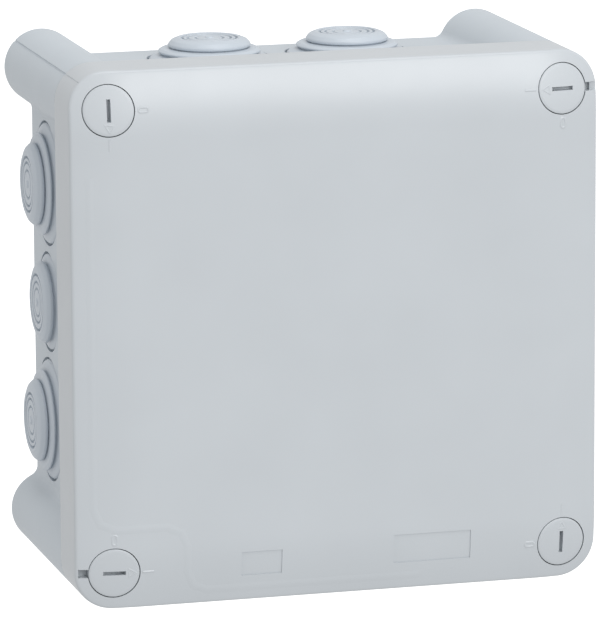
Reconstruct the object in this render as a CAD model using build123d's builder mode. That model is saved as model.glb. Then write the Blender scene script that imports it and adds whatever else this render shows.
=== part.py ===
from build123d import *
import math
import os

# Square surface-mounted junction box, 130 x 130 x 74 mm.
# The back face lies in the plane Y = 0, the lid faces -Y, +X is to the right and +Z is up.
# Heights are measured from the back face towards the lid, so a height h is the plane Y = -h.

# ---- driving dimensions ----
SIZE = 130.0             # lid, width and height
DEPTH = 74.0             # back face to the middle of the lid
SKIRT = 18.0             # depth of the lid's skirt
POST_R = 9.2             # corner posts of the housing; the lid's corners have the same radius
LID_WALL = 2.5           # skirt
LID_EDGE_R = 0.8         # rounding of the lid's front edge
BORDER_WIDTH = 16.0      # the lid's border, where the face rolls back
BORDER_DROP = 1.9        # how far the border has rolled back at the lid's edge
FLAT_CORNER_R = 4.0      # corners of the flat middle of the face
POST_FILLET = 2.7        # concave rounding between a post and the walls
WALL_RECESS = 6.75       # at the back, the side walls lie this far inside the lid's outline
WALL_DRAFT = 1.5         # degrees; the walls' outer faces widen towards the lid
FLOOR = 2.5

# ---- lid screws ----
HEAD_R = 6.05
HEAD_BORE_R = 6.25
HEAD_DEPTH = 3.4         # thickness of the screw's head
HEAD_DROP = 1.1          # head face below the middle of the lid
SHANK_R = 3.6
SHANK_BORE_R = 3.85
SHANK_LENGTH = 19.0      # below the head
FOOT_LENGTH = 9.6        # bar across the end of the shank
FOOT_WIDTH = 3.6
FOOT_THICKNESS = 3.0
SLOT_LENGTH = 5.4
SLOT_WIDTH = 0.95
SLOT_DEPTH = 1.8
SCREW_GAP = 0.15         # under the head
BOSS_R = 7.9             # tube under the lid around each screw
POCKET_R = 5.8           # pocket in the post that takes the screw's foot
POCKET_DEPTH = 19.0
CORE_DEPTH = 32.0        # the posts are cored out from the back, on the same radius

# ---- seal ----
PATH_HALF = 57.05        # middle of the rim and the seal, along each side
PATH_NOTCH_R = 9.95      # the rim and the seal pass inside the screws on this radius
RIM_WIDTH = 1.9
RIM_HEIGHT = 12.1        # above the flange's rear face
SEAL_WIDTH = 2.9
SEAL_HEIGHT = 2.5
SEAL_GAP = 0.2           # the free seal stands this far off the rim
GROOVE_WIDTH = 3.1
RIB_WIDTH = 1.4
RIB_HEIGHT = 4.6
PATH_BLEND = 1.5         # rounding where the notches meet the straight sides

# ---- flange of the housing, inside the skirt ----
FLANGE_THICKNESS = 2.0
FLANGE_GAP = 0.4         # to the skirt, and to the screw tubes above it
SEAM = 0.15              # gap between the skirt's rear edge and the posts
PARTING_R = 0.3          # fine parting groove along the outer side of each post and lid corner
BACK_EDGE_R = 0.5        # rounding of the outer back edge

# ---- cable entries ----
ENTRY_HEIGHT = 18.5      # entry axis above the back face
SIDE_ENTRY_Z = 29.5      # large entries on the left and right walls; a small one is in the middle
TOP_ENTRY_X = 17.5       # large entries on the top and bottom walls
RECESS_DEPTH = 0.8       # at the back of the wall; the draft makes it deeper towards the lid
RECESS_CLEARANCE = 4.0   # the recess is cut from this far outside the wall
RECESS_R = {"large": 15.4, "small": 12.4}
HOLE_R = {"large": 11.0, "small": 8.6}
NECK_GAP = 0.05

# ---- back plate ----
FIXING_PITCH = 84.0      # wall-fixing holes, both ways
FIXING_R = 2.5
FIXING_BOSS_R = 5.5
FIXING_BOSS_HEIGHT = 1.5
RAIL_PITCH = 60.0        # blind bosses for a terminal rail or plate
RAIL_HOLE_R = 1.5
RAIL_HOLE_DEPTH = 6.0
RAIL_BOSS_R = 3.5
RAIL_BOSS_HEIGHT = 7.0

NEAR = 0.01              # two heights this close are the same

# ---- worked out ----
HALF = SIZE / 2
WALL_HALF = HALF - WALL_RECESS
SEAM_HEIGHT = DEPTH - SKIRT
LID_EDGE = DEPTH - BORDER_DROP
FLAT_SIZE = SIZE - 2 * BORDER_WIDTH
SCREW_PITCH = SIZE - 2 * POST_R
INNER_HALF = HALF - LID_WALL
INNER_CORNER_R = POST_R - LID_WALL
FLANGE_HALF = INNER_HALF - FLANGE_GAP
WALL = WALL_HALF - PATH_HALF + RIM_WIDTH / 2
RIM_TOP = SEAM_HEIGHT + RIM_HEIGHT
SEAL_BOTTOM = RIM_TOP + SEAL_GAP
LID_INSIDE = SEAL_BOTTOM + SEAL_HEIGHT
POST_CORNER = SCREW_PITCH / 2 + POST_R * math.sqrt(0.5)
HEAD_FACE = DEPTH - HEAD_DROP
HEAD_SEAT = HEAD_FACE - HEAD_DEPTH - SCREW_GAP
BOSS_END = SEAM_HEIGHT + FLANGE_THICKNESS + FLANGE_GAP
CORNERS = {"top_left": (-1, 1), "top_right": (1, 1), "bottom_left": (-1, -1), "bottom_right": (1, -1)}


def notched_square(offset):
    """The rim's path, moved outwards by offset: a square with a round notch at each screw."""
    with BuildSketch() as outline:
        side = 2 * (PATH_HALF + offset)
        Rectangle(side, side)
        with GridLocations(SCREW_PITCH, SCREW_PITCH, 2, 2):
            Circle(PATH_NOTCH_R - offset, mode=Mode.SUBTRACT)
        fillet(outline.vertices(), PATH_BLEND)
    return outline.sketch


def entry_planes():
    """Each cable entry's name, size and plane: origin on the wall's outer face, normal outwards."""
    entries = []
    for side, sign in (("left", -1), ("right", 1)):
        for level, z, size in (("upper", SIDE_ENTRY_Z, "large"), ("middle", 0, "small"),
                               ("lower", -SIDE_ENTRY_Z, "large")):
            place = Plane((sign * WALL_HALF, -ENTRY_HEIGHT, z), x_dir=(0, 1, 0), z_dir=(sign, 0, 0))
            entries.append((f"grommet_{side}_{level}", size, place))
    for side, sign in (("top", 1), ("bottom", -1)):
        for hand, x in (("left", -TOP_ENTRY_X), ("right", TOP_ENTRY_X)):
            place = Plane((x, -ENTRY_HEIGHT, sign * WALL_HALF), x_dir=(1, 0, 0), z_dir=(0, 0, sign))
            entries.append((f"grommet_{side}_{hand}", "large", place))
    return entries


def save(part, name):
    part.label = name
    export_step(part, f"parts/{name}.step")


os.makedirs("parts", exist_ok=True)
ENTRIES = entry_planes()

# ---- housing: walls and corner posts, back plate, flange and rim in one moulding ----
with BuildPart() as housing:
    with BuildSketch(Plane.XZ):
        Rectangle(2 * WALL_HALF, 2 * WALL_HALF)
    extrude(amount=SEAM_HEIGHT, taper=-WALL_DRAFT)
    with BuildSketch(Plane.XZ):
        with GridLocations(SCREW_PITCH, SCREW_PITCH, 2, 2):
            Circle(POST_R)
    extrude(amount=SEAM_HEIGHT)
    upright = [e for e in housing.edges() if e.bounding_box().size.Y > SEAM_HEIGHT / 2]
    inward = [e for e in upright if min(abs(e.center().X), abs(e.center().Z)) < WALL_HALF - POST_R]
    fillet(inward, POST_FILLET)
    fillet(housing.faces().sort_by(Axis.Y)[-1].edges(), BACK_EDGE_R)
    with BuildSketch(Plane.XZ.offset(SEAM_HEIGHT)):
        RectangleRounded(2 * FLANGE_HALF, 2 * FLANGE_HALF, INNER_CORNER_R - FLANGE_GAP)
    extrude(amount=FLANGE_THICKNESS)
    with BuildSketch(Plane.XZ.offset(SEAM_HEIGHT)):
        add(notched_square(RIM_WIDTH / 2))
    extrude(amount=RIM_HEIGHT)

    # the inside, down to the back plate
    with BuildSketch(Plane.XZ.offset(FLOOR)):
        add(notched_square(-RIM_WIDTH / 2))
    extrude(amount=DEPTH, mode=Mode.SUBTRACT)

    # bosses on the back plate
    with BuildSketch(Plane.XZ.offset(FLOOR)):
        with GridLocations(FIXING_PITCH, FIXING_PITCH, 2, 2):
            Circle(FIXING_BOSS_R)
    extrude(amount=FIXING_BOSS_HEIGHT)
    with BuildSketch(Plane.XZ.offset(FLOOR)):
        with GridLocations(RAIL_PITCH, RAIL_PITCH, 2, 2):
            Circle(RAIL_BOSS_R)
    extrude(amount=RAIL_BOSS_HEIGHT)
    with BuildSketch(Plane.XZ):
        with GridLocations(FIXING_PITCH, FIXING_PITCH, 2, 2):
            Circle(FIXING_R)
    extrude(amount=FLOOR + FIXING_BOSS_HEIGHT, mode=Mode.SUBTRACT)
    with BuildSketch(Plane.XZ.offset(FLOOR + RAIL_BOSS_HEIGHT)):
        with GridLocations(RAIL_PITCH, RAIL_PITCH, 2, 2):
            Circle(RAIL_HOLE_R)
    extrude(amount=-RAIL_HOLE_DEPTH, mode=Mode.SUBTRACT)

    # fine parting grooves on the posts
    with BuildSketch(Plane.XZ):
        with GridLocations(2 * POST_CORNER, 2 * POST_CORNER, 2, 2):
            Circle(PARTING_R)
    extrude(amount=SEAM_HEIGHT, mode=Mode.SUBTRACT)

    # pockets for the feet of the lid screws
    with BuildSketch(Plane.XZ.offset(SEAM_HEIGHT + FLANGE_THICKNESS)):
        with GridLocations(SCREW_PITCH, SCREW_PITCH, 2, 2):
            Circle(POCKET_R)
    extrude(amount=-POCKET_DEPTH, mode=Mode.SUBTRACT)
    with BuildSketch(Plane.XZ):
        with GridLocations(SCREW_PITCH, SCREW_PITCH, 2, 2):
            Circle(POCKET_R)
    extrude(amount=CORE_DEPTH, mode=Mode.SUBTRACT)

    # cable entries: a shallow round recess and a hole through the wall
    for _, size, place in ENTRIES:
        with BuildSketch(place.offset(-RECESS_DEPTH)):
            Circle(RECESS_R[size])
        extrude(amount=RECESS_DEPTH + RECESS_CLEARANCE, mode=Mode.SUBTRACT)
        with BuildSketch(place):
            Circle(HOLE_R[size])
        extrude(amount=-2 * WALL, mode=Mode.SUBTRACT)
save(housing.part, "housing")

# ---- lid: a deep cap, with the screw tubes and the two ribs that hold the seal ----
with BuildPart() as lid:
    with BuildSketch(Plane.XZ.offset(SEAM_HEIGHT + SEAM)):
        RectangleRounded(SIZE, SIZE, POST_R)
    extrude(amount=LID_EDGE - SEAM_HEIGHT - SEAM)
    with BuildSketch(Plane.XZ.offset(LID_EDGE)):
        RectangleRounded(SIZE, SIZE, POST_R)
    with BuildSketch(Plane.XZ.offset(DEPTH)):
        RectangleRounded(FLAT_SIZE, FLAT_SIZE, FLAT_CORNER_R)
    loft(ruled=True)
    front_edges = lid.edges().filter_by_position(Axis.Y, -LID_EDGE - NEAR, -LID_EDGE + NEAR)
    fillet(front_edges, LID_EDGE_R)

    # parting groove on the skirt's corners
    with BuildSketch(Plane.XZ.offset(SEAM_HEIGHT)):
        with GridLocations(2 * POST_CORNER, 2 * POST_CORNER, 2, 2):
            Circle(PARTING_R)
    extrude(amount=SKIRT, mode=Mode.SUBTRACT)

    # hollow
    with BuildSketch(Plane.XZ.offset(SEAM_HEIGHT)):
        RectangleRounded(2 * INNER_HALF, 2 * INNER_HALF, INNER_CORNER_R)
    extrude(amount=LID_INSIDE - SEAM_HEIGHT, mode=Mode.SUBTRACT)

    # ribs each side of the seal, and the tubes for the screws
    for outer, inner in ((GROOVE_WIDTH / 2 + RIB_WIDTH, GROOVE_WIDTH / 2),
                         (-GROOVE_WIDTH / 2, -GROOVE_WIDTH / 2 - RIB_WIDTH)):
        with BuildSketch(Plane.XZ.offset(LID_INSIDE)):
            add(notched_square(outer))
            add(notched_square(inner), mode=Mode.SUBTRACT)
        extrude(amount=-RIB_HEIGHT)
    with BuildSketch(Plane.XZ.offset(BOSS_END)):
        with GridLocations(SCREW_PITCH, SCREW_PITCH, 2, 2):
            Circle(BOSS_R)
    extrude(amount=LID_INSIDE - BOSS_END)

    # stepped holes for the screws
    with BuildSketch(Plane.XZ.offset(HEAD_SEAT)):
        with GridLocations(SCREW_PITCH, SCREW_PITCH, 2, 2):
            Circle(HEAD_BORE_R)
    extrude(amount=DEPTH - HEAD_SEAT, mode=Mode.SUBTRACT)
    with BuildSketch(Plane.XZ.offset(BOSS_END)):
        with GridLocations(SCREW_PITCH, SCREW_PITCH, 2, 2):
            Circle(SHANK_BORE_R)
    extrude(amount=HEAD_SEAT - BOSS_END, mode=Mode.SUBTRACT)
save(lid.part, "lid")

# ---- lid seal: a ring in the groove, passing inside the screws ----
with BuildPart() as seal:
    with BuildSketch(Plane.XZ.offset(SEAL_BOTTOM)):
        add(notched_square(SEAL_WIDTH / 2))
        add(notched_square(-SEAL_WIDTH / 2), mode=Mode.SUBTRACT)
    extrude(amount=SEAL_HEIGHT)
save(seal.part, "lid_seal")

# ---- quarter-turn lid screws: slotted head, shank, and a bar across the foot ----
for name, (side_x, side_z) in CORNERS.items():
    x, z = side_x * SCREW_PITCH / 2, side_z * SCREW_PITCH / 2
    slot_turn = 90 if side_x * side_z < 0 else 0
    with BuildPart() as screw:
        with BuildSketch(Plane((x, -HEAD_FACE, z), x_dir=(1, 0, 0), z_dir=(0, 1, 0))):
            Circle(HEAD_R)
        extrude(amount=HEAD_DEPTH)
        with BuildSketch(Plane((x, -HEAD_FACE + HEAD_DEPTH, z), x_dir=(1, 0, 0), z_dir=(0, 1, 0))):
            Circle(SHANK_R)
        extrude(amount=SHANK_LENGTH)
        foot_end = HEAD_FACE - HEAD_DEPTH - SHANK_LENGTH
        with BuildSketch(Plane((x, -foot_end, z), x_dir=(1, 0, 0), z_dir=(0, -1, 0))):
            Rectangle(FOOT_LENGTH, FOOT_WIDTH, rotation=slot_turn)
        extrude(amount=FOOT_THICKNESS)
        with BuildSketch(Plane((x, -HEAD_FACE, z), x_dir=(1, 0, 0), z_dir=(0, 1, 0))):
            Rectangle(SLOT_LENGTH, SLOT_WIDTH, rotation=slot_turn)
        extrude(amount=SLOT_DEPTH, mode=Mode.SUBTRACT)
    save(screw.part, f"lid_screw_{name}")

# ---- cable-entry grommets: stepped, hollow and closed, with a lip each side of the wall ----
# each profile runs round the closed outline as (radius, height above the wall's outer face)
PROFILES = {
    "large": ((0, 4.9), (5.1, 4.9), (5.1, 4.5), (5.5, 4.5), (5.5, 4.9), (6.4, 4.9), (6.8, 5.6), (7.6, 5.6),
              (9.2, 5.0), (10.1, 4.0), (10.1, 3.4), (9.5, 3.2), (9.4, 2.9), (11.6, 2.7), (12.4, 2.2),
              (12.4, 1.8), (11.9, 1.6), (11.8, 1.4), (14.8, 0.4), (14.8, -RECESS_DEPTH)),
    "small": ((0, 3.0), (5.1, 3.0), (5.1, 2.6), (5.5, 2.6), (5.5, 3.0), (6.3, 3.0), (6.7, 3.7), (7.5, 3.7),
              (9.0, 3.1), (9.8, 2.2), (9.8, 1.5), (9.3, 1.3), (9.2, 1.0), (11.8, 0.4), (11.8, -RECESS_DEPTH)),
}
LIP_R = {"large": 12.8, "small": 10.3}
LIP_THICKNESS = 1.6
MEMBRANE = 1.3
NECK_WALL = 1.6
BORE_STEP = 1.0          # the inside narrows by this much on each side towards the membrane

for name, size, place in ENTRIES:
    neck_r = HOLE_R[size] - NECK_GAP
    bore_r = neck_r - NECK_WALL
    membrane_back = PROFILES[size][0][1] - MEMBRANE
    profile_plane = Plane(place.origin, x_dir=place.x_dir, z_dir=place.x_dir.cross(place.z_dir))
    with BuildPart() as grommet:
        with BuildSketch(profile_plane):
            with BuildLine():
                Polyline(*PROFILES[size],
                         (neck_r, -RECESS_DEPTH), (neck_r, -WALL), (LIP_R[size], -WALL),
                         (LIP_R[size], -WALL - LIP_THICKNESS), (bore_r, -WALL - LIP_THICKNESS),
                         (bore_r, -RECESS_DEPTH), (bore_r - BORE_STEP, membrane_back), (0, membrane_back),
                         close=True)
            make_face()
        revolve(axis=Axis(place.origin, place.z_dir))
    save(grommet.part, name)
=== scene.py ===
"""Looks of the square junction box: lid, lid screws, grommets, materials, light and camera.

The box's lengths are millimetres until a mesh is made. The studio at the end is in metres.
A point is (x, h, z), where h is the height above the back face, measured towards the lid, so
it lands at Y = -h.
"""

import math

import bmesh
import bpy
from mathutils import Matrix, Vector


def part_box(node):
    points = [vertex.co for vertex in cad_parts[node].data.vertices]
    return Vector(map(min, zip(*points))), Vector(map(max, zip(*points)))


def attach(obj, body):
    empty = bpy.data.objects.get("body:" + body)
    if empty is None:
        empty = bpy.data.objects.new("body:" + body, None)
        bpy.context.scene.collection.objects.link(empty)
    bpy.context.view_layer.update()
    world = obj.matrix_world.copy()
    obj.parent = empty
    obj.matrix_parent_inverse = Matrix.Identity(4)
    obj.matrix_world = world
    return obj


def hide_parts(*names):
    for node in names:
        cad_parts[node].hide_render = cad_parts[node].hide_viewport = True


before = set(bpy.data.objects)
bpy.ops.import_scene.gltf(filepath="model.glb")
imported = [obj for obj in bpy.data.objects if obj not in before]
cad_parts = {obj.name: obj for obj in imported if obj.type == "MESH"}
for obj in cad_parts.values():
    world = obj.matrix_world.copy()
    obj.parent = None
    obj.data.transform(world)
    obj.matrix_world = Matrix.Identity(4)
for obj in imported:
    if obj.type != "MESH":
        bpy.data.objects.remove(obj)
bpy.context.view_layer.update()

MM = 0.001


def node_box(node):
    """A node's lowest and highest corner as (x, h, z), in millimetres."""
    low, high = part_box(node)
    return (Vector((low.x, -high.y, low.z)) / MM, Vector((high.x, -low.y, high.z)) / MM)


# ======== sizes ========

# ---- from the frame ----
LID_LOW, LID_HIGH = node_box("lid")
HALF = LID_HIGH.x
DEPTH = LID_HIGH.y
SKIRT_GROWTH = 0.11      # the skirt is drawn this much nearer to the posts than in the CAD
SKIRT_END = LID_LOW.y - SKIRT_GROWTH
HEAD_LOW, HEAD_HIGH = node_box("lid_screw_top_right")
SCREW = (HEAD_LOW.x + HEAD_HIGH.x) / 2
HEAD_R = (HEAD_HIGH.x - HEAD_LOW.x) / 2
FOOT_END = HEAD_LOW.y

# ---- screws' places, seen from the front ----
CORNERS = {
    "top_left": (-1, 1),
    "top_right": (1, 1),
    "bottom_left": (-1, -1),
    "bottom_right": (1, -1),
}
# degrees from +X towards +Z at which each screw's line mark stands; its 0 is a quarter turn on
LINE_SIDE = {"top_left": 270, "top_right": 180, "bottom_left": 0, "bottom_right": 90}

# ---- lid ----
CORNER_R = HALF - SCREW  # the corners are round about the screws
EDGE_R = 0.7             # rounding between the face and the skirt
ROLL_WIDTH = 16.0        # the face rolls back over this width along each side
ROLL_RATE = 0.0105       # drop is this times the square of the distance into the border
LID_WALL = 2.5
FACE_INSIDE = 70.8
SKIRT_LIP_R = 0.12
PATH_HALF = 57.05        # middle of the seal along each side
PATH_NOTCH_R = 9.95      # the seal passes inside the screws on this radius
GROOVE_WIDTH = 3.1
RIB_WIDTH = 1.4
RIB_HEIGHT = 4.6
BOSS_R = 7.7
BOSS_END = 58.4
HEAD_BORE_R = 6.25
SHANK_BORE_R = 3.85
HEAD_SEAT = 69.35
PARTING_R = 0.15         # parting groove on the corners

# ---- pry notches beside the upper right and the lower left screw ----
NOTCH_SIZE = 2.1
NOTCH_DEPTH = 5.0
NOTCH_STRIP = 0.7        # left between the lower notch and the lid's edge
NOTCH_LAP = 0.6          # a notch reaches this far into its screw's bore
STEP_LENGTH = 1.4        # the upper notch is deep for this far, then shallow out to the edge
STEP_DEPTH = 0.7

# ---- sunk label panels, left blank: left, right, bottom and top side ----
PANELS = (
    (-24.6, -14.6, -58.5, -52.6),
    (13.3, 32.6, -58.1, -51.0),
)
PANEL_DEPTH = 0.25

# ---- raised marks on the lid ----
MARK_WIDTH = 0.8
MARK_HEIGHT = 0.16
LINE_FROM, LINE_TO = 6.8, 9.5    # from the screw's axis
ZERO_CENTRE = 8.2                # from the screw's axis
ZERO_LONG, ZERO_WIDE = 1.15, 0.55    # half its length and width
ZERO_CUT = 0.3                   # off its corners
# faint mark that the ribs behind leave on the face, at the left and the bottom
SINK_MARK = (
    (-60.6, 40.0), (-60.6, -40.2), (-59.1, -43.7), (-55.6, -45.2), (-43.0, -45.2), (-39.5, -46.7),
    (-38.0, -50.2), (-38.0, -56.5), (-36.5, -60.0), (-33.0, -61.5), (20.0, -61.5),
)
SINK_WIDTH = 3.0
SINK_HEIGHT = 0.09
BEAD_SINK = 0.1          # a raised line reaches this far under the face

# ---- lid screws ----
HEAD_THICKNESS = 3.3
HEAD_DROP = 1.1          # head face below the middle of the lid
HEAD_CHAMFER = 0.3       # under the head
HEAD_EDGE = ((0.0, 0.8), (0.0, 0.22), (0.06, 0.08), (0.22, 0.0))    # inset and drop, round the face
SHANK_R = 3.6
SLOT_LENGTH = 5.4
SLOT_WIDTH = 0.95
SLOT_DEPTH = 1.8
FOOT_LENGTH = 9.6
FOOT_WIDTH = 3.6
FOOT_THICKNESS = 3.0
ARROW_FROM, ARROW_TO = 3.4, 5.1    # from the screw's axis
ARROW_HALF = 1.0
ARROW_WIDTH = 0.6        # of its line
ARROW_HEIGHT = 0.13

# ---- grommets ----
RECESS_DEPTH = 0.8
WALL_RECESS = 6.75       # at the back, the walls lie this far inside the lid's outline
WALL = 2.15
# (radius, height above the wall's outer face at the back, rounding), outwards from the axis:
# nub, the flat round it with three grooves, shoulder, the large size's second tier, and the rim
# that lies in the wall's recess
OUTSIDE = {
    "large": (
        (0, 5.7, 0), (0.9, 5.7, 0.25), (1.1, 5.35, 0.15),
        (3.1, 5.35, 0.1), (3.25, 4.85, 0.05), (3.6, 4.85, 0.05), (3.75, 5.35, 0.1),
        (5.0, 5.35, 0.1), (5.15, 4.75, 0.05), (5.5, 4.75, 0.05), (5.65, 5.4, 0.1),
        (6.35, 5.4, 0.1), (6.5, 4.7, 0.05), (6.85, 4.7, 0.05), (7.0, 5.45, 0.15),
        (7.8, 5.55, 0.8), (9.3, 4.95, 1.2), (10.15, 4.0, 0.7), (10.1, 3.35, 0.3), (9.4, 3.2, 0.1),
        (9.35, 3.05, 0.05), (11.8, 2.9, 0.6), (12.6, 2.4, 0.35), (12.55, 2.0, 0.2),
        (11.8, 1.85, 0.1), (11.75, 1.6, 0.1), (14.4, 0.7, 0.5), (14.8, 0.3, 0.2),
        (14.8, -RECESS_DEPTH, 0.1),
    ),
    "small": (
        (0, 3.8, 0), (0.9, 3.75, 0.25), (1.1, 3.45, 0.15),
        (3.1, 3.4, 0.1), (3.25, 2.9, 0.05), (3.6, 2.9, 0.05), (3.75, 3.4, 0.1),
        (4.7, 3.4, 0.1), (4.85, 2.8, 0.05), (5.2, 2.8, 0.05), (5.35, 3.45, 0.1),
        (6.5, 3.5, 0.1), (6.65, 2.75, 0.05), (7.0, 2.75, 0.05), (7.15, 3.5, 0.15),
        (7.8, 3.6, 0.7), (9.3, 3.05, 1.1), (10.1, 2.2, 0.7), (10.05, 1.5, 0.3), (9.5, 1.3, 0.1),
        (9.4, 1.0, 0.15), (11.5, 0.5, 0.5), (11.8, 0.3, 0.2), (11.8, -RECESS_DEPTH, 0.1),
    ),
}
FLAT_POINT = 2           # the profile's point where the flat round the nub starts
NECK_R = {"large": 10.95, "small": 8.55}
LIP_R = {"large": 12.8, "small": 10.3}
LIP_THICKNESS = 1.6
NECK_WALL = 1.6
MEMBRANE = 1.3
BORE_STEP = 1.0          # the inside narrows by this much towards the membrane
OUTWARD = {
    "left": Vector((-1, 0, 0)),
    "right": Vector((1, 0, 0)),
    "top": Vector((0, 0, 1)),
    "bottom": Vector((0, 0, -1)),
}

# ---- how solids meet ----
OVERLAP = 0.02           # solids that are joined reach this far into each other
CLEAR = 5.0              # a cutter sticks out of what it cuts by this much
CLEAR_SLOT = 3.0         # or by this much, where it cuts a screw's slot
CLEAR_NEAR = 1.0         # or by this much, where something else is near

# ---- fineness of the meshes ----
ROUND_STEPS = 96         # round a full circle
PARTING_STEPS = 16       # round a parting groove
STRAIGHT_STEPS = 60      # along a side of the lid
CORNER_STEPS = 24        # round a corner of the lid
PATH_STEPS = 24          # along a side of the seal's path, and round one of its notches
INSIDE_SHARES = (0.02, 0.5, 1.0)    # loops on the lid's inner face, as shares of its half
LIP_STEPS = 4
SKIRT_STEPS = 12
EDGE_STEPS = 8
BORDER_STEP = 0.6        # between loops on the lid's border
MIDDLE_STEP = 2.0        # between loops on the rest of the face
BORDER_MARGIN = 1.0      # the fine loops go this far past the border
LOOP_R_FALL = 0.5        # a loop's corner radius falls by this much for each millimetre inwards
LOOP_R_LEAST = 4.0       # but not below this, times the loop's size
PANEL_STEPS = 8
BEAD_STEP = 1.2          # longest run of a raised line between two sections
BEAD_SECTION = 8         # steps across a raised line
HEAD_SHARES = (0.85, 0.7, 0.55, 0.4, 0.25, 0.1)    # loops on a screw's face, as shares of HEAD_R
ARC_STEPS = 6            # in a rounded corner of a grommet's profile
MOST_OF_RUN = 0.49       # a rounded corner takes up to this share of the runs beside it
ON_AXIS = 1e-6           # a profile's point within this radius is on the axis

# sharper edges than these, in degrees, aren't shaded smooth
MOULDED_EDGE = 35
BEAD_EDGE = 50
RUBBER_EDGE = 40


# ======== mesh helpers ========

def to_metres(point):
    x, h, z = point
    return (x * MM, -h * MM, z * MM)


def new_object(name, bm):
    """Makes an object from a bmesh whose vertices are (x, h, z) in millimetres."""
    for vertex in bm.verts:
        vertex.co = to_metres(vertex.co)
    bmesh.ops.recalc_face_normals(bm, faces=bm.faces)
    mesh = bpy.data.meshes.new(name)
    bm.to_mesh(mesh)
    bm.free()
    piece = bpy.data.objects.new(name, mesh)
    bpy.context.collection.objects.link(piece)
    return piece


def bridge(bm, loops, endless=False):
    """Joins closed loops of points, each with the same count, by quads, and closes the ends.

    An endless chain of loops goes back to the first one in place of that.
    """
    rings = [[bm.verts.new(p) for p in loop] for loop in loops]
    count = len(rings[0])
    if endless:
        rings.append(rings[0])
    for ring, after in zip(rings, rings[1:]):
        for i in range(count):
            j = (i + 1) % count
            bm.faces.new((ring[i], ring[j], after[j], after[i]))
    if not endless:
        bm.faces.new(reversed(rings[0]))
        bm.faces.new(rings[-1])


def smooth(piece, angle):
    piece.data.shade_smooth()
    piece.data.set_sharp_from_angle(angle=math.radians(angle))


def combine(piece, others, operation):
    """Applies a boolean with each of the other objects in turn, and removes them."""
    for other in others:
        change = piece.modifiers.new("combine", "BOOLEAN")
        change.operation = operation
        change.solver = "EXACT"
        change.object = other
        bpy.context.view_layer.objects.active = piece
        bpy.ops.object.modifier_apply(modifier=change.name)
        bpy.data.objects.remove(other, do_unlink=True)


def ring_points(radius, steps):
    return [(radius * math.cos(2 * math.pi * i / steps), radius * math.sin(2 * math.pi * i / steps))
            for i in range(steps)]


def quarter_turn(steps):
    """Angles from 0 to a quarter turn."""
    return [i / steps * math.pi / 2 for i in range(steps + 1)]


def on_four_sides(side):
    """Repeats the points (x, z) of one side on all four, by quarter turns."""
    points = []
    for quarter in range(4):
        turn = quarter * math.pi / 2
        points += [(x * math.cos(turn) - z * math.sin(turn),
                    x * math.sin(turn) + z * math.cos(turn)) for x, z in side]
    return points


def rounded_square(half, radius):
    """Points (x, z) round a square with rounded corners, counterclockwise seen from the front."""
    flat = half - radius
    side = [(half, flat * (2 * i / STRAIGHT_STEPS - 1)) for i in range(STRAIGHT_STEPS)]
    side += [(flat + radius * math.cos(a), flat + radius * math.sin(a))
             for a in quarter_turn(CORNER_STEPS)[:-1]]
    return on_four_sides(side)


def notched_square(offset):
    """The seal's path moved outwards by offset: a square with a round notch at each screw."""
    half = PATH_HALF + offset
    radius = PATH_NOTCH_R - offset
    start = math.asin((half - SCREW) / radius)
    flat = SCREW - radius * math.cos(start)
    side = [(half, flat * (2 * i / PATH_STEPS - 1)) for i in range(PATH_STEPS)]
    for i in range(PATH_STEPS + 1):
        a = -start + (math.pi / 2 + 2 * start) * i / PATH_STEPS
        side.append((SCREW - radius * math.sin(a), SCREW - radius * math.cos(a)))
    return on_four_sides(side)


def prism(name, outline, low, high):
    """A solid with an outline of points (x, z), from one height to another."""
    bm = bmesh.new()
    bridge(bm, [[(x, h, z) for x, z in outline] for h in (low, high)])
    return new_object(name, bm)


def cylinder(name, centre, radius, low, high, steps=ROUND_STEPS):
    """A cylinder along h about the point (x, z)."""
    outline = [(centre[0] + x, centre[1] + z) for x, z in ring_points(radius, steps)]
    return prism(name, outline, low, high)


def block(name, low, high, turn=0.0, about=(0.0, 0.0)):
    """A box from corner to corner, turned by degrees and then moved to the point (x, z)."""
    corners = [(low[0], low[2]), (high[0], low[2]), (high[0], high[2]), (low[0], high[2])]
    c, s = math.cos(math.radians(turn)), math.sin(math.radians(turn))
    outline = [(about[0] + x * c - z * s, about[1] + x * s + z * c) for x, z in corners]
    return prism(name, outline, low[1], high[1])


# ======== lid ========

def roll(distance_from_middle):
    """Drop of the face along one axis."""
    into_border = max(0.0, abs(distance_from_middle) - (HALF - ROLL_WIDTH))
    return ROLL_RATE * into_border ** 2


def face_height(x, z):
    return DEPTH - roll(x) - roll(z)


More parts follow.
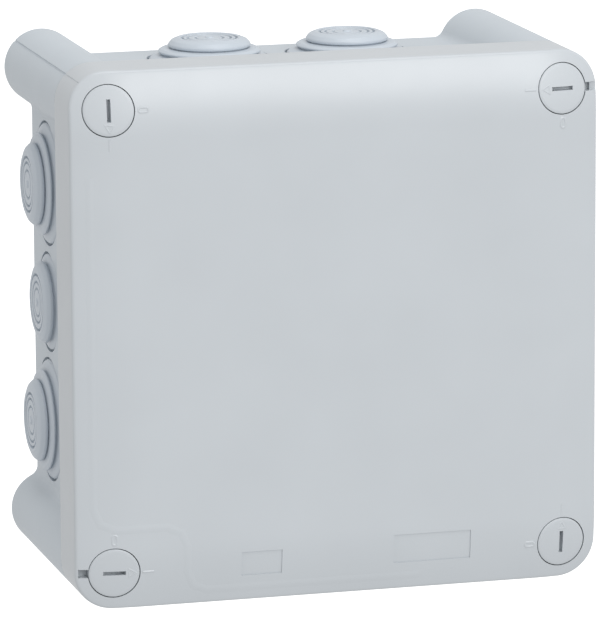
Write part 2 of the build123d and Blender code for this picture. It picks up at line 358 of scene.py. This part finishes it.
def lid_shell():
    """The cap, as loops from the middle of its inner face, round the skirt, to its front."""
    loops = []

    def add_loop(inset, radius, height=None, drop=0.0):
        """Adds a loop at a height, or where there's none, below the face."""
        loops.append([(x, face_height(x, z) - drop if height is None else height, z)
                      for x, z in rounded_square(HALF - inset, radius)])

    # inside
    for share in INSIDE_SHARES:
        add_loop(HALF - (HALF - LID_WALL) * share, (CORNER_R - LID_WALL) * share, FACE_INSIDE)
    skirt_base = SKIRT_END + SKIRT_LIP_R
    add_loop(LID_WALL, CORNER_R - LID_WALL, skirt_base)
    add_loop(LID_WALL - SKIRT_LIP_R, CORNER_R - LID_WALL + SKIRT_LIP_R, SKIRT_END)
    # the skirt's rear lip
    for a in quarter_turn(LIP_STEPS):
        inset = SKIRT_LIP_R * (1 - math.sin(a))
        add_loop(inset, CORNER_R - inset, SKIRT_END + SKIRT_LIP_R * (1 - math.cos(a)))
    # the skirt's outside, up to the wavy line where the edge's rounding starts
    for i in range(1, SKIRT_STEPS):
        share = i / SKIRT_STEPS
        loops.append([(x, skirt_base + (face_height(x, z) - EDGE_R - skirt_base) * share, z)
                      for x, z in rounded_square(HALF, CORNER_R)])
    # the edge's rounding
    for a in quarter_turn(EDGE_STEPS):
        inset = EDGE_R * (1 - math.cos(a))
        add_loop(inset, CORNER_R - inset, drop=EDGE_R * (1 - math.sin(a)))
    # the face, fine over the border and coarser in the middle
    inset = EDGE_R
    while inset < HALF - MIDDLE_STEP:
        inset += BORDER_STEP if inset < ROLL_WIDTH + BORDER_MARGIN else MIDDLE_STEP
        size = (HALF - inset) / (HALF - EDGE_R)
        radius = CORNER_R - EDGE_R - (inset - EDGE_R) * LOOP_R_FALL
        add_loop(inset, max(radius, LOOP_R_LEAST * size))
    bm = bmesh.new()
    bridge(bm, loops)
    return new_object("lid_shell", bm)


def panel_cut(x0, x1, z0, z1):
    """A block that sinks a panel into the face, with its floor following the face."""
    loops = []
    for i in range(PANEL_STEPS + 1):
        z = z0 + (z1 - z0) * i / PANEL_STEPS
        floor = face_height(0, z) - PANEL_DEPTH
        top = DEPTH + CLEAR_NEAR
        loops.append([(x0, floor, z), (x1, floor, z), (x1, top, z), (x0, top, z)])
    bm = bmesh.new()
    bridge(bm, loops)
    return new_object("panel", bm)


def seal_ribs():
    """The two ribs that the seal's groove runs between."""
    ribs = []
    for outer in (GROOVE_WIDTH / 2 + RIB_WIDTH, -GROOVE_WIDTH / 2):
        rib = prism("rib", notched_square(outer), FACE_INSIDE - RIB_HEIGHT, FACE_INSIDE + OVERLAP)
        hole = prism("hole", notched_square(outer - RIB_WIDTH),
                     FACE_INSIDE - 2 * RIB_HEIGHT, FACE_INSIDE + CLEAR_NEAR)
        combine(rib, [hole], "DIFFERENCE")
        ribs.append(rib)
    return ribs


def pry_notches():
    """Cutters for the lower left notch, and for the upper right one's deep and shallow part."""
    bore_edge = SCREW + HEAD_BORE_R
    half = NOTCH_SIZE / 2
    floor, top = DEPTH - NOTCH_DEPTH, DEPTH + CLEAR
    step_floor = face_height(HALF, SCREW) - STEP_DEPTH
    return [
        block("pry", (-HALF + NOTCH_STRIP, floor, -SCREW - half),
              (-bore_edge + NOTCH_LAP, top, -SCREW + half)),
        block("pry", (bore_edge - NOTCH_LAP, floor, SCREW - half),
              (bore_edge + STEP_LENGTH, top, SCREW + half)),
        block("pry", (bore_edge, step_floor, SCREW - half), (HALF + CLEAR, top, SCREW + half)),
    ]


def make_lid():
    lid = lid_shell()
    centres = [(sx * SCREW, sz * SCREW) for sx, sz in CORNERS.values()]
    ribs = seal_ribs()
    bosses = [cylinder("boss", c, BOSS_R, BOSS_END, FACE_INSIDE + OVERLAP) for c in centres]
    combine(lid, ribs + bosses, "UNION")

    cuts = [cylinder("bore", c, HEAD_BORE_R, HEAD_SEAT, DEPTH + CLEAR) for c in centres]
    cuts += [cylinder("bore", c, SHANK_BORE_R, BOSS_END - CLEAR, HEAD_SEAT + CLEAR_NEAR)
             for c in centres]
    cuts += pry_notches()
    corner = SCREW + CORNER_R * math.sqrt(0.5)
    cuts += [cylinder("parting", (sx * corner, sz * corner), PARTING_R, SKIRT_END - CLEAR_NEAR,
                      face_height(corner, corner) - EDGE_R / 2, PARTING_STEPS)
             for sx, sz in CORNERS.values()]
    cuts += [panel_cut(*sides) for sides in PANELS]
    combine(lid, cuts, "DIFFERENCE")
    lid.name = "lid_cover"
    smooth(lid, MOULDED_EDGE)
    return lid


# ======== raised marks ========

def bead(bm, points, width, height, endless=False):
    """A raised line with a soft rounded back, along points (x, z) on the lid's face."""
    path = []
    for (x0, z0), (x1, z1) in zip(points, points[1:] + points[:1] if endless else points[1:]):
        steps = math.ceil(math.hypot(x1 - x0, z1 - z0) / BEAD_STEP)
        path += [Vector((x0 + (x1 - x0) * i / steps, z0 + (z1 - z0) * i / steps))
                 for i in range(steps)]
    if not endless:
        path.append(Vector(points[-1]))

    shares = [2 * k / BEAD_SECTION - 1 for k in range(BEAD_SECTION + 1)]
    section = [(share, height * (1 + math.cos(share * math.pi)) / 2 - OVERLAP) for share in shares]
    section += [(1, -BEAD_SINK), (-1, -BEAD_SINK)]
    loops = []
    for i, here in enumerate(path):
        before = path[i - 1] if i or endless else here
        after = path[(i + 1) % len(path)] if i + 1 < len(path) or endless else here
        runs = [run.normalized() for run in (here - before, after - here) if run.length]
        ahead = sum(runs, Vector((0, 0))).normalized()
        side = Vector((-ahead.y, ahead.x)) / ahead.dot(runs[0])
        loop = []
        for across, up in section:
            x, z = here + side * (across * width / 2)
            loop.append((x, face_height(x, z) + up, z))
        loops.append(loop)
    bridge(bm, loops, endless)


def around(centre, degrees, distance, sideways=0.0):
    """A point at a distance from a centre towards an angle, moved sideways from that line."""
    a = math.radians(degrees)
    return (centre[0] + distance * math.cos(a) - sideways * math.sin(a),
            centre[1] + distance * math.sin(a) + sideways * math.cos(a))


def make_marks():
    """A line and a 0 beside each screw, and the faint sink mark."""
    zero = [(ZERO_LONG, ZERO_WIDE - ZERO_CUT), (ZERO_LONG - ZERO_CUT, ZERO_WIDE)]
    zero += [(-a, b) for a, b in reversed(zero)]
    zero += [(a, -b) for a, b in reversed(zero)]
    bm = bmesh.new()
    for corner, (sx, sz) in CORNERS.items():
        centre = (sx * SCREW, sz * SCREW)
        side = LINE_SIDE[corner]
        bead(bm, [around(centre, side, LINE_FROM), around(centre, side, LINE_TO)],
             MARK_WIDTH, MARK_HEIGHT)
        bead(bm, [around(centre, side + 90, ZERO_CENTRE + a, b) for a, b in zero],
             MARK_WIDTH, MARK_HEIGHT, endless=True)
    bead(bm, SINK_MARK, SINK_WIDTH, SINK_HEIGHT)
    marks = new_object("lid_marks", bm)
    smooth(marks, BEAD_EDGE)
    return marks


# ======== lid screws ========

def make_screw(corner):
    """A screw, whose face follows the lid's, and the arrow on it."""
    sx, sz = CORNERS[corner]
    centre = (sx * SCREW, sz * SCREW)
    side = LINE_SIDE[corner]
    face = DEPTH - HEAD_DROP
    base = face - HEAD_THICKNESS

    def circle(radius, height=None, drop=0.0):
        """A loop at a height, or where there's none, below the face."""
        points = []
        for x, z in ring_points(radius, ROUND_STEPS):
            px, pz = centre[0] + x, centre[1] + z
            points.append((px, face_height(px, pz) - drop if height is None else height, pz))
        return points

    loops = [circle(SHANK_R, FOOT_END), circle(SHANK_R, base),
             circle(HEAD_R - HEAD_CHAMFER, base), circle(HEAD_R, base + HEAD_CHAMFER)]
    loops += [circle(HEAD_R - inset, drop=drop) for inset, drop in HEAD_EDGE]
    loops += [circle(HEAD_R * share) for share in HEAD_SHARES]
    bm = bmesh.new()
    bridge(bm, loops)
    screw = new_object(f"screw_{corner}", bm)
    foot = block("foot", (-FOOT_LENGTH / 2, FOOT_END, -FOOT_WIDTH / 2),
                 (FOOT_LENGTH / 2, FOOT_END + FOOT_THICKNESS, FOOT_WIDTH / 2), side, centre)
    combine(screw, [foot], "UNION")
    slot = block("slot", (-SLOT_LENGTH / 2, face - SLOT_DEPTH, -SLOT_WIDTH / 2),
                 (SLOT_LENGTH / 2, DEPTH + CLEAR_SLOT, SLOT_WIDTH / 2), side, centre)
    combine(screw, [slot], "DIFFERENCE")
    smooth(screw, MOULDED_EDGE)

    bm = bmesh.new()
    corners = ((ARROW_FROM, ARROW_HALF), (ARROW_TO, 0.0), (ARROW_FROM, -ARROW_HALF))
    bead(bm, [around(centre, side, a, b) for a, b in corners],
         ARROW_WIDTH, ARROW_HEIGHT, endless=True)
    arrow = new_object(f"screw_arrow_{corner}", bm)
    smooth(arrow, BEAD_EDGE)
    return screw, arrow


# ======== grommets ========

def rounded_profile(corners):
    """Turns (radius, height, rounding) corners into points, with an arc at each rounded one."""
    points = []
    last = len(corners) - 1
    for i, (r, h, rounding) in enumerate(corners):
        here = Vector((r, h))
        if rounding == 0 or i in (0, last):
            points.append(here)
            continue
        before = Vector(corners[i - 1][:2]) - here
        after = Vector(corners[i + 1][:2]) - here
        angle = before.angle(after)
        reach = min(rounding / math.tan(angle / 2),
                    before.length * MOST_OF_RUN, after.length * MOST_OF_RUN)
        radius = reach * math.tan(angle / 2)
        a, b = here + before.normalized() * reach, here + after.normalized() * reach
        inwards = (before.normalized() + after.normalized()).normalized()
        middle = here + inwards * (radius / math.sin(angle / 2))
        start, end = a - middle, b - middle
        sweep = start.angle_signed(end)
        for k in range(ARC_STEPS + 1):
            points.append(middle + Matrix.Rotation(-sweep * k / ARC_STEPS, 2) @ start)
    return points


def lathe(name, profile, origin, outward):
    """Turns a profile of (radius, height) about the line through origin along outward."""
    across = Vector((0, 1, 0))
    up = outward.cross(across)
    turns = [2 * math.pi * i / ROUND_STEPS for i in range(ROUND_STEPS)]
    bm = bmesh.new()
    rings = []
    for r, h in profile:
        centre = origin + outward * h
        if r < ON_AXIS:
            rings.append([bm.verts.new(centre)])
        else:
            rings.append([bm.verts.new(centre + (across * math.cos(a) + up * math.sin(a)) * r)
                          for a in turns])
    for ring, after in zip(rings, rings[1:]):
        for i in range(ROUND_STEPS):
            j = (i + 1) % ROUND_STEPS
            if len(ring) == 1:
                bm.faces.new((ring[0], after[j], after[i]))
            elif len(after) == 1:
                bm.faces.new((ring[i], ring[j], after[0]))
            else:
                bm.faces.new((ring[i], ring[j], after[j], after[i]))
    return new_object(name, bm)


def make_grommet(node):
    low, high = node_box(node)
    middle = (low + high) / 2
    size = "small" if node.endswith("middle") else "large"
    outward = OUTWARD[node.split("_")[1]]
    wall = HALF - WALL_RECESS
    origin = Vector((outward.x * wall if outward.x else middle.x, middle.y,
                     outward.z * wall if outward.z else middle.z))
    neck, lip = NECK_R[size], LIP_R[size]
    bore = neck - NECK_WALL
    lip_end = -WALL - LIP_THICKNESS
    membrane_back = OUTSIDE[size][FLAT_POINT][1] - MEMBRANE
    # (radius, height, rounding) as in OUTSIDE, back to the axis
    inside = (
        (neck, -RECESS_DEPTH, 0.1), (neck, -WALL, 0.1), (lip, -WALL, 0.3), (lip, lip_end, 0.5),
        (bore, lip_end, 0.4), (bore, -RECESS_DEPTH, 0.5), (bore - BORE_STEP, membrane_back, 0.8),
        (0, membrane_back, 0),
    )
    grommet = lathe(node.replace("grommet", "entry_seal"),
                    rounded_profile(OUTSIDE[size] + inside), origin, outward)
    smooth(grommet, RUBBER_EDGE)
    return grommet


# ======== materials ========

# linear colours
LID_GREY = (0.524, 0.557, 0.586)
HOUSING_GREY = (0.530, 0.580, 0.624)
GROMMET_GREY = (0.527, 0.578, 0.632)
SEAL_BLACK = (0.04, 0.042, 0.045)

TONE_SIZE = 25.0         # of the slow changes of tone
TONE_CHANGE = 0.015      # share by which the colour changes
TONE_FROM, TONE_TO = 0.3, 0.7    # where on the noise the change starts and ends
GLOSS_SIZE = 6.0         # of the changes of roughness
GLOSS_CHANGE = 0.04      # added to the roughness and taken from it
# size and depth of the grain
PLASTIC_GRAIN = (0.35, 0.006)
GROMMET_GRAIN = (0.25, 0.006)
SEAL_GRAIN = (0.25, 0.01)
GRAIN_STRENGTH = 0.6
TONE_DETAIL, GLOSS_DETAIL, GRAIN_DETAIL = 2.0, 3.0, 2.0    # octaves of each noise


def moulded(name, colour, roughness, grain):
    """Moulded plastic or rubber: fine even grain, and slow slight changes of tone and gloss."""
    grain_size, grain_depth = grain
    material = bpy.data.materials.new(name)
    material.use_nodes = True
    tree = material.node_tree
    link = tree.links.new
    shader = tree.nodes["Principled BSDF"]
    place = tree.nodes.new("ShaderNodeTexCoord")

    def noise(size, detail):
        node = tree.nodes.new("ShaderNodeTexNoise")
        node.inputs["Scale"].default_value = 1 / (size * MM)
        node.inputs["Detail"].default_value = detail
        link(place.outputs["Object"], node.inputs["Vector"])
        return node.outputs["Fac"]

    tone = noise(TONE_SIZE, TONE_DETAIL)
    ramp = tree.nodes.new("ShaderNodeValToRGB")
    ramp.color_ramp.elements[0].position = TONE_FROM
    ramp.color_ramp.elements[1].position = TONE_TO
    for element, factor in zip(ramp.color_ramp.elements, (1 - TONE_CHANGE, 1 + TONE_CHANGE)):
        element.color = (*[min(1.0, c * factor) for c in colour], 1.0)
    link(tone, ramp.inputs["Fac"])
    link(ramp.outputs["Color"], shader.inputs["Base Color"])

    gloss = tree.nodes.new("ShaderNodeMapRange")
    gloss.inputs["To Min"].default_value = roughness - GLOSS_CHANGE
    gloss.inputs["To Max"].default_value = roughness + GLOSS_CHANGE
    link(noise(GLOSS_SIZE, GLOSS_DETAIL), gloss.inputs["Value"])
    link(gloss.outputs["Result"], shader.inputs["Roughness"])

    bump = tree.nodes.new("ShaderNodeBump")
    bump.inputs["Strength"].default_value = GRAIN_STRENGTH
    bump.inputs["Distance"].default_value = grain_depth * MM
    link(noise(grain_size, GRAIN_DETAIL), bump.inputs["Height"])
    link(bump.outputs["Normal"], shader.inputs["Normal"])
    return material


def dress(piece, material):
    piece.data.materials.clear()
    piece.data.materials.append(material)


def carry(node, material):
    """Gives a CAD node that stays in view its material."""
    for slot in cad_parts[node].material_slots:
        slot.material = material


# ======== assembly ========

lid_material = moulded("lid_plastic", LID_GREY, roughness=0.30, grain=PLASTIC_GRAIN)
screw_material = moulded("screw_plastic", LID_GREY, roughness=0.40, grain=PLASTIC_GRAIN)
housing_material = moulded("housing_plastic", HOUSING_GREY, roughness=0.40, grain=PLASTIC_GRAIN)
grommet_material = moulded("grommet_rubber", GROMMET_GREY, roughness=0.38, grain=GROMMET_GRAIN)
seal_material = moulded("seal_rubber", SEAL_BLACK, roughness=0.6, grain=SEAL_GRAIN)

lid = make_lid()
dress(lid, lid_material)
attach(lid, "lid")
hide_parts("lid")

marks = make_marks()
dress(marks, lid_material)
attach(marks, "lid")

for corner in CORNERS:
    screw, arrow = make_screw(corner)
    for piece in (screw, arrow):
        dress(piece, screw_material)
        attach(piece, f"screw_{corner}")
    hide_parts(f"lid_screw_{corner}")

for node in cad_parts:
    if node.startswith("grommet"):
        grommet = make_grommet(node)
        dress(grommet, grommet_material)
        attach(grommet, "base")
        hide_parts(node)

carry("housing", housing_material)
carry("lid_seal", seal_material)


# ======== floor, light and camera, in metres ========

FLOOR_DROP = 0.50        # below the box, which hangs on a wall that isn't shown
FLOOR_R = 5.0            # flat out to here, then it curves up into a cove
COVE_R = 2.0
COVE_TOP = 4.0
COVE_STEPS = 12
FLOOR_SIDES = 64
FLOOR_COLOUR = (0.92, 0.92, 0.92, 1)
FLOOR_ROUGHNESS = 0.9
FLOOR_GLOW = 0.60        # brings the floor to white
WHITE = (1, 1, 1, 1)

WORLD_STRENGTH = 0.72
# position, width and height, and power in watts
LIGHTS = {
    "key": ((0.326, -1.217, 0.484), (0.70, 0.52), 5.75),
    "top": ((0.10, -0.35, 1.20), (0.80, 0.80), 4.4),
}
LIGHT_TARGET = Vector((0, -0.04, 0))

# the camera turns about a point in the middle of the box
PIVOT = Vector((0, -0.044, 0))
YAW, PITCH, ROLL = 15.158, 11.431, -0.349      # degrees
DISTANCE = 1.3675
PAN = (0.00197, 0.00109)
LENS, SENSOR = 323.7, 36.0                     # millimetres
CLIP_START, CLIP_END = 0.05, 50.0


def make_floor():
    level = -HALF * MM - FLOOR_DROP
    bends = [math.pi / 2 * step / COVE_STEPS for step in range(COVE_STEPS + 1)]
    section = [(FLOOR_R + COVE_R * math.sin(a), level + COVE_R * (1 - math.cos(a))) for a in bends]
    section.append((FLOOR_R + COVE_R, level + COVE_TOP))
    turns = [math.tau * side / FLOOR_SIDES for side in range(FLOOR_SIDES)]
    bm = bmesh.new()
    rings = [[bm.verts.new((r * math.cos(a), r * math.sin(a), z)) for a in turns]
             for r, z in section]
    bm.faces.new(rings[0])
    for ring, after in zip(rings, rings[1:]):
        for i in range(FLOOR_SIDES):
            j = (i + 1) % FLOOR_SIDES
            bm.faces.new((ring[i], after[i], after[j], ring[j]))
    mesh = bpy.data.meshes.new("floor")
    bm.to_mesh(mesh)
    bm.free()
    floor = bpy.data.objects.new("floor", mesh)
    bpy.context.collection.objects.link(floor)

    material = bpy.data.materials.new("floor")
    material.use_nodes = True
    shader = material.node_tree.nodes["Principled BSDF"]
    shader.inputs["Base Color"].default_value = FLOOR_COLOUR
    shader.inputs["Roughness"].default_value = FLOOR_ROUGHNESS
    shader.inputs["Emission Color"].default_value = WHITE
    shader.inputs["Emission Strength"].default_value = FLOOR_GLOW
    dress(floor, material)
    # the box is lit by the studio alone, with nothing from the floor
    floor.visible_diffuse = False
    floor.visible_glossy = False
    floor.visible_shadow = False


def make_light(name, position, size, power):
    data = bpy.data.lights.new(name, "AREA")
    data.shape = "RECTANGLE"
    data.size, data.size_y = size
    data.energy = power
    light = bpy.data.objects.new(name, data)
    light.location = position
    light.visible_camera = False
    light.rotation_euler = (LIGHT_TARGET - Vector(position)).to_track_quat("-Z", "Y").to_euler()
    bpy.context.collection.objects.link(light)


def make_world():
    world = bpy.data.worlds.new("studio")
    world.use_nodes = True
    background = world.node_tree.nodes["Background"]
    background.inputs["Color"].default_value = WHITE
    background.inputs["Strength"].default_value = WORLD_STRENGTH
    bpy.context.scene.world = world


def make_camera():
    yaw, pitch, roll_angle = (math.radians(v) for v in (YAW, PITCH, ROLL))
    ahead = Vector((math.sin(yaw) * math.cos(pitch), math.cos(yaw) * math.cos(pitch),
                    -math.sin(pitch)))
    right = Vector((math.cos(yaw), -math.sin(yaw), 0))
    up = right.cross(ahead)
    right, up = (right * math.cos(roll_angle) + up * math.sin(roll_angle),
                 up * math.cos(roll_angle) - right * math.sin(roll_angle))
    data = bpy.data.cameras.new("camera")
    data.lens = LENS
    data.sensor_width = SENSOR
    data.clip_start, data.clip_end = CLIP_START, CLIP_END
    camera = bpy.data.objects.new("camera", data)
    where = PIVOT - ahead * DISTANCE - right * PAN[0] - up * PAN[1]
    turn = Matrix((right, up, -ahead)).transposed().to_4x4()
    camera.matrix_world = Matrix.Translation(where) @ turn
    bpy.context.collection.objects.link(camera)
    bpy.context.scene.camera = camera


make_floor()
make_world()
for name, (position, size, power) in LIGHTS.items():
    make_light(name, position, size, power)
make_camera()
bpy.context.scene.view_settings.view_transform = "Standard"
